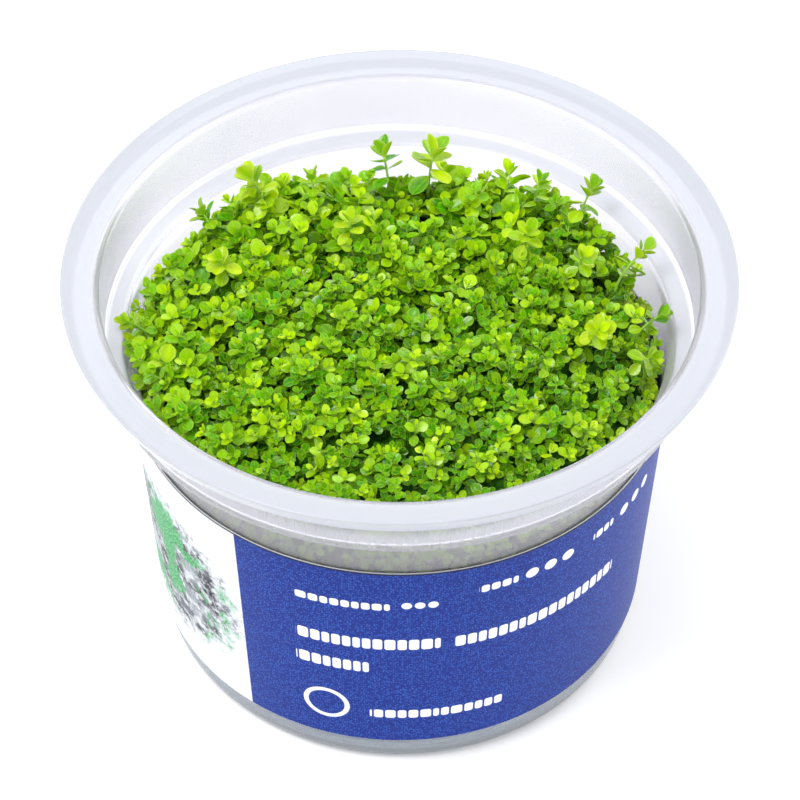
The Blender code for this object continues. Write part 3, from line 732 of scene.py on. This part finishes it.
def leaf_finish(name, old, young):
    """The leaf: from the old colour to the young one by its youth, under coats that each follow a value
    from where the coat starts to where it is full."""
    surface = {"Roughness": 0.22, "IOR": 1.42, "Specular IOR Level": 0.45}
    depth = {"Subsurface Weight": 0.3, "Subsurface Radius": (0.0006, 0.0009, 0.0002), "Subsurface Scale": 0.6}
    made, tree, shader = finish_of(name, {**surface, **depth})
    read = {
        title: add(tree, "Attribute", {}, "Fac", attribute_name=title)
        for title in ("youth", "shade", "wither", "rim", "reach", "under")
    }
    here = add(tree, "TexCoord", {}, "Object")
    read["cells"] = add(tree, "TexNoise", {"Vector": here, "Scale": 1800.0, "Detail": 3.0})
    colour = add(tree, "Mix", {0: read["youth"], 6: old, 7: young}, 2, data_type="RGBA")
    # What a coat follows, where it starts, where it is full, its share there, its colour.
    coats = {
        "deep shade": ("shade", 0.0, 1.0, 0.85, "#0E5A02"),
        "cells": ("cells", 0.42, 0.7, 0.3, "#86CC0C"),
        "pale foot": ("reach", 0.35, 0.0, 0.4, "#BCDC20"),
        "pale margin": ("rim", 0.6, 1.0, 0.45, "#C0EE3C"),
        "pale midrib": ("rim", 0.16, 0.0, 0.22, "#C4EC30"),
        "dull underside": ("under", 0.0, 1.0, 0.5, "#7CB428"),
        "withered brown": ("wither", 0.0, 1.0, 1.0, "#7C3E22"),
    }
    for title, (follows, start, full, most, tint) in coats.items():
        limits = {"Value": read[follows], "From Min": start, "From Max": full, "To Max": most}
        read[title] = add(tree, "MapRange", limits)
        colour = add(tree, "Mix", {0: read[title], 6: colour, 7: tint}, 2, data_type="RGBA")
    swell = add(tree, "Math", {0: read["pale midrib"], 1: -0.6, 2: read["cells"]}, operation="MULTIPLY_ADD")
    relief = add(tree, "Bump", {"Height": swell, "Strength": 0.5, "Distance": 0.00014})
    feed(shader, {"Base Color": colour, "Normal": relief})
    return made


# Living leaf, thin and waxy: light glances off its face and some of it shines through. Its cells are drawn
# 0.6 mm wide, coarser than real ones, so that they show.
carpet_leaf = leaf_finish("carpet_leaf", "#48AE02", "#CAEC06")
# Young stem: pale, juicy, smooth, with tones that change every 4 mm.
soft_stem, tree, shader = finish_of("young_stem", {"Roughness": 0.38, "IOR": 1.42})
here = add(tree, "TexCoord", {}, "Object")
tone = add(tree, "TexNoise", {"Vector": here, "Scale": 260.0, "Detail": 2.0})
colour = add(tree, "Mix", {0: tone, 6: "#5C9A16", 7: "#AED858"}, 2, data_type="RGBA")
feed(shader, {"Base Color": colour})

# Places of the shoots: a grid of triangles whose points have strayed, inside the carpet's edge and clear of
# the bright shoots, which come first in the arrays.
row_pitch = SHOOT_PITCH * ROW_SHARE
column, row = np.meshgrid(np.arange(-23, 24), np.arange(-25, 26))
x = (column + 0.5 * (row % 2)) * SHOOT_PITCH + random.uniform(-SHOOT_STRAY, SHOOT_STRAY, column.shape)
y = row * row_pitch + random.uniform(-SHOOT_STRAY, SHOOT_STRAY, column.shape)
x, y = x.ravel(), y.ravel()
inside = np.hypot(x, y) < carpet_radius(np.arctan2(y, x)) - SHOOT_INSET
bright = np.array(BRIGHT_SHOOTS)
apart = np.hypot(x[:, None] - bright[None, :, 0], y[:, None] - bright[None, :, 1]).min(1)
keep = inside & (apart > BRIGHT_ROOM)
x, y = np.append(bright[:, 0], x[keep]), np.append(bright[:, 1], y[keep])
count = len(x)
chosen = len(bright)
# Leaf length, vigour (most are middling and a tenth are young and bright), turn and lift of each shoot.
to_back = (y - BED_TURN * x) / BED_HALF
growth, more_growth = LEAF_GROWTH
size = LEAF_LENGTH * (1.0 + growth * to_back + more_growth * to_back**2) * random.uniform(*LEAF_SPREAD, count)
vigour = random.beta(1.8, 2.3, count)
vigour = np.where(random.uniform(0.0, 1.0, count) < 0.1, random.uniform(0.85, 1.0, count), vigour)
turn = random.uniform(0.0, 2.0 * math.pi, count)
lift = 0.5 - 3.0 * random.uniform(0.0, 1.0, count) ** 1.3
size[:chosen], vigour[:chosen], lift[:chosen] = bright[:, 2], bright[:, 3], 0.8
turn[:chosen] = np.radians(bright[:, 4])
sunk = np.zeros(count)
for spot_x, spot_y, spot_radius in HOLLOWS:
    away = np.hypot(x - spot_x, y - spot_y) / (1.25 * spot_radius)
    sunk = np.maximum(sunk, 1.0 - np.clip(away, 0.0, 1.0) ** 2)
sunk[:chosen] = 0.0
wither = np.zeros(count)
for spot_x, spot_y, spot_radius in WITHERED:
    away = np.hypot(x - spot_x, y - spot_y) / spot_radius
    wither = np.maximum(wither, np.clip(1.6 * (1.0 - away), 0.0, 0.85))
high = carpet_height(x, y) + lift - HOLLOW_DEPTH * sunk
# The lean, in which near_edge goes from 0 to 1 over the outer 28% of the radius.
direction = np.arctan2(y, x)
near_edge = np.clip(np.hypot(x, y) / carpet_radius(direction) - 0.72, 0.0, 0.28) / 0.28
stray, outwards, from_slope, forwards = LEAN
lean = random.uniform(0.0, stray, count)
lean_way = random.uniform(0.0, 2.0 * math.pi, count)
slope_x = np.clip(carpet_height(x + 0.6, y) - carpet_height(x - 0.6, y), -1.2, 1.2)
slope_y = np.clip(carpet_height(x, y + 0.6) - carpet_height(x, y - 0.6), -1.2, 1.2)
lean_x = lean * np.cos(lean_way) + outwards * near_edge * np.cos(direction) - from_slope * slope_x
lean_y = lean * np.sin(lean_way) + outwards * near_edge * np.sin(direction) - from_slope * slope_y - forwards
# Left and right the shoots hang over the shelf and the gap, and some stand tall against the back wall.
left, right = (reach * (near_edge * bell(direction, middle, width)) for middle, width, reach in HANGING)
behind = np.clip((y - 12.0) / 12.0, 0.0, 1.0) * (random.uniform(0.0, 1.0, count) < TALL_SHARE)
high = high + left + behind * random.uniform(*TALL_BY, count)
hang = left + right
upward = np.array((0.0, 0.0, 1.0))
tip = np.stack((x + hang * np.cos(direction), y + hang * np.sin(direction), high), -1)
sideways = 0.62 * SHOOT_HEIGHT
foot = tip - np.stack((lean_x * sideways, lean_y * sideways, np.full(count, SHOOT_HEIGHT)), -1)
knee = foot + 0.5 * SHOOT_HEIGHT * upward

# Shoots on the carpet's side, in rows round it: how far they stray round and up, how far inside the wall
# and the edge they stay, and the ways from tip to foot and from foot to knee, outwards and up.
SIDE_ROWS = (46.6, 49.4, 52.2, 55.0)
SIDE_STEP = 2.9 / 38.0
SIDE_STRAY = (0.03, 1.1)
SIDE_INSET = (1.4, 0.3)
SIDE_FOOT = (-2.6, -4.0)
SIDE_KNEE = (0.5, 2.2)
side_angle, side_high = np.meshgrid(np.arange(0.0, 2.0 * math.pi, SIDE_STEP), SIDE_ROWS)
round_by, up_by = SIDE_STRAY
side_angle = (side_angle + random.uniform(-round_by, round_by, side_angle.shape)).ravel()
side_high = (side_high + random.uniform(-up_by, up_by, side_high.shape)).ravel()
side_count = len(side_angle)
side_out = np.minimum(carpet_radius(side_angle), body_radius(side_high) - SIDE_INSET[0]) - SIDE_INSET[1]
outward = np.stack((np.cos(side_angle), np.sin(side_angle), np.zeros(side_count)), -1)
side_tip = outward * side_out[:, None] + upward * side_high[:, None]
side_foot = side_tip + outward * SIDE_FOOT[0] + upward * SIDE_FOOT[1]
side_knee = side_foot + outward * SIDE_KNEE[0] + upward * SIDE_KNEE[1]
foot, knee, tip = (np.vstack(pair) for pair in ((foot, side_foot), (knee, side_knee), (tip, side_tip)))
size = np.append(size, random.uniform(1.5, 2.2, side_count))
vigour = np.append(vigour, random.uniform(0.55, 1.0, side_count))
turn = np.append(turn, random.uniform(0.0, 2.0 * math.pi, side_count))
wither = np.append(wither, np.zeros(side_count))
sunk = np.append(sunk, np.full(side_count, 0.35))
low_shoot = np.append(lift < -1.1, np.full(side_count, True))
total = len(size)

# The leaves, pair by pair. Youth falls from pair to pair, and with depth, which is partly real ageing and
# partly painted shade; shade grows with depth and in hollows. A bright shoot is a rosette: its pairs are
# further apart and its two youngest smaller.
ROSETTE_SPACING = 1.4
ROSETTE_TOP = 0.72
parts = []
stem_length = np.linalg.norm(tip - foot, axis=1)
spaced = np.where(np.arange(total) < chosen, ROSETTE_SPACING, 1.0)
for number, (down_stem, share_of_size, opening) in enumerate(PAIRS):
    share = 1.0 - down_stem * spaced * size / stem_length
    place, heading = bow(foot, knee, tip, share)
    heading = unit(heading + 0.35 * upward)
    swing = turn + number * math.pi / 2.0 + random.normal(0.0, 0.26, total)
    root, along, up = leaf_sockets(place, heading, swing, np.full(total, math.radians(opening)), 0.1)
    both = np.tile(np.arange(total), 2)
    small_top = np.where((both < chosen) & (number < 2), ROSETTE_TOP, 1.0)
    long = size[both] * share_of_size * small_top * random.uniform(0.85, 1.12, 2 * total)
    wide = long * random.uniform(0.66, 0.92, 2 * total)
    roll = random.normal(0.0, 0.33, 2 * total)[:, None]
    up = unit(up * np.cos(roll) + np.cross(along, up) * np.sin(roll))
    bend = random.normal(0.10 - 0.06 * number, 0.07, 2 * total)
    dish = random.normal(0.34 - 0.05 * number, 0.12, 2 * total)
    depth = np.clip(carpet_height(root[:, 0], root[:, 1]) + 0.4 - root[:, 2], 0.0, 2.8)
    depth[both >= count] = 0.8
    # Youth falls with depth: partly ageing, partly painted shade that darkens leaves low in the carpet.
    young = 0.12 + vigour[both] * (1.0 - 0.12 * number) - 0.08 * depth + random.normal(0.0, 0.10, 2 * total)
    young = np.clip(young, 0.0, 1.0)
    shady = random.uniform(0.0, 0.45, 2 * total) + 0.24 * depth + 0.3 * sunk[both] - 0.5 * vigour[both]
    shady = np.clip(shady, 0.0, 1.0)
    plain = low_shoot[both] | (number in (0, len(PAIRS) - 1))
    parts.append((root, along, up, long, wide, bend, dish, young, shady, wither[both], plain))
*shape, young, shady, brown, plain = (np.concatenate(part) for part in zip(*parts))
east, north = shape[0][:, 0] >= 0.0, shape[0][:, 1] >= -2.0
groups = (
    ("carpet_leaves_back_right", FINE_LEAF, ~plain & east & north),
    ("carpet_leaves_back_left", FINE_LEAF, ~plain & ~east & north),
    ("carpet_leaves_front_left", FINE_LEAF, ~plain & ~east & ~north),
    ("carpet_leaves_front_right", FINE_LEAF, ~plain & east & ~north),
    ("small_leaves_right", PLAIN_LEAF, plain & east),
    ("small_leaves_left", PLAIN_LEAF, plain & ~east),
)
for name, grid, mine in groups:
    points = blades(grid, *(part[mine] for part in shape))
    made = leaf_piece(name, grid, points, (young[mine], shady[mine], brown[mine]), carpet_leaf)
    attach(made, "root")
below_leaves = tip - 0.02 * size[:, None] * upward
points, faces = stems(foot, knee, below_leaves, np.full(total, SHOOT_STEM))
carpet_stems = piece("carpet_stems", points, faces, soft_stem)
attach(carpet_stems, "root")


# The standing sprigs: single shoots that have outgrown the carpet, each with a bare pale stem and a few
# crossed pairs of larger, yellower leaves. Each is one plant part of its own, and grew where it stands.
# Foot x, foot y, tip x, tip y, tip z, longest leaf, turn in degrees, youth.
SPRIGS = (
    (4.4, 27.4, 5.2, 29.2, 65.8, 4.0, 42, 0.8),
    (-1.6, 27.0, -2.5, 29.4, 65.8, 3.5, 58, 0.42),
    (-20.6, 22.6, -22.8, 24.0, 65.6, 3.5, 75, 0.95),
    (-28.6, 18.2, -30.2, 19.4, 62.6, 2.7, 20, 0.55),
    (-13.2, 24.6, -13.6, 26.0, 63.8, 2.5, 0, 0.4),
    (20.6, 23.4, 21.6, 25.2, 63.4, 2.7, 35, 0.5),
    (27.4, 20.4, 29.5, 23.0, 64.4, 3.0, 60, 0.5),
    (32.6, 6.6, 36.9, 9.6, 64.2, 2.7, 70, 0.6),
    (35.0, -3.4, 38.8, -2.4, 62.2, 2.4, 30, 0.25),
    (-37.2, -2.4, -40.6, -3.2, 61.6, 2.2, 5, 0.6),
    (-7.4, 14.8, -7.6, 15.4, 64.6, 2.7, 40, 0.9),
    (18.8, 12.4, 19.4, 12.2, 65.2, 2.8, 65, 0.85),
    (27.0, 8.6, 27.6, 8.4, 63.8, 2.6, 25, 0.85),
    (-26.4, 8.0, -27.0, 7.6, 63.4, 2.7, 80, 0.85),
    (29.0, -5.4, 29.4, -6.2, 63.0, 2.7, 10, 0.98),
    (35.0, -9.6, 37.0, -10.6, 61.4, 2.5, 55, 0.7),
)
# Leaf pairs of a sprig: share of the stem, size in longest leaves, opening in degrees.
SPRIG_PAIRS = (
    (0.54, 0.95, 108.0), (0.70, 1.0, 90.0), (0.84, 1.0, 68.0), (0.93, 0.84, 48.0), (1.0, 0.86, 26.0),
)
# How far a sprig's foot is under its CAD solid, where up its height it bends, and its stem's thickness.
SPRIG_ROOT = 1.5
SPRIG_KNEE = 0.55
SPRIG_STEM = 0.48
# These leaves are larger, so they have a grid of their own.
BROAD_LEAF = (
    np.array((0.06, 0.18, 0.34, 0.52, 0.70, 0.86, 0.96)),
    np.array((-1.0, -0.66, -0.33, 0.0, 0.33, 0.66, 1.0, 0.0)),
)
sprig_leaf = leaf_finish("sprig_leaf", "#409A04", "#C2E006")
for number, (foot_x, foot_y, tip_x, tip_y, tip_z, leaf, turned_by, youth) in enumerate(SPRIGS, start=1):
    box_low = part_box(f"sprig_{number:02d}")[0]
    foot = np.array(((foot_x, foot_y, box_low.z / MM - SPRIG_ROOT),))
    tip = np.array(((tip_x, tip_y, tip_z),))
    knee = np.array(((foot_x, foot_y, foot[0, 2] + SPRIG_KNEE * (tip_z - foot[0, 2])),))
    parts = []
    for index, (share, share_of_size, opening) in enumerate(SPRIG_PAIRS):
        place, heading = bow(foot, knee, tip, (share,))
        swing = np.array((math.radians(turned_by) + index * math.pi / 2.0,))
        sockets = leaf_sockets(place, heading, swing, np.array((math.radians(opening),)), 0.12)
        long = leaf * share_of_size * random.uniform(0.92, 1.08, 2)
        wide = long * random.uniform(0.72, 0.88, 2)
        bend = random.normal(-0.02, 0.05, 2)
        dish = random.normal(0.30, 0.08, 2)
        young = np.clip(youth - 0.1 + random.normal(0.0, 0.26, 2), 0.0, 1.0)
        parts.append((*sockets, long, wide, bend, dish, young, random.uniform(0.0, 0.25, 2)))
    *shape, young, shady = (np.concatenate(part) for part in zip(*parts))
    points = blades(BROAD_LEAF, *shape)
    own = (young, shady, np.zeros_like(young))
    sprig = leaf_piece(f"standing_sprig_{number:02d}", BROAD_LEAF, points, own, sprig_leaf)
    points, faces = stems(foot, knee, tip, np.array((SPRIG_STEM,)), steps=9, around=8)
    stem = piece(f"sprig_stem_{number:02d}", points, faces, soft_stem)
    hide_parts(f"sprig_{number:02d}")
    for part in (sprig, stem):
        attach(part, "root")
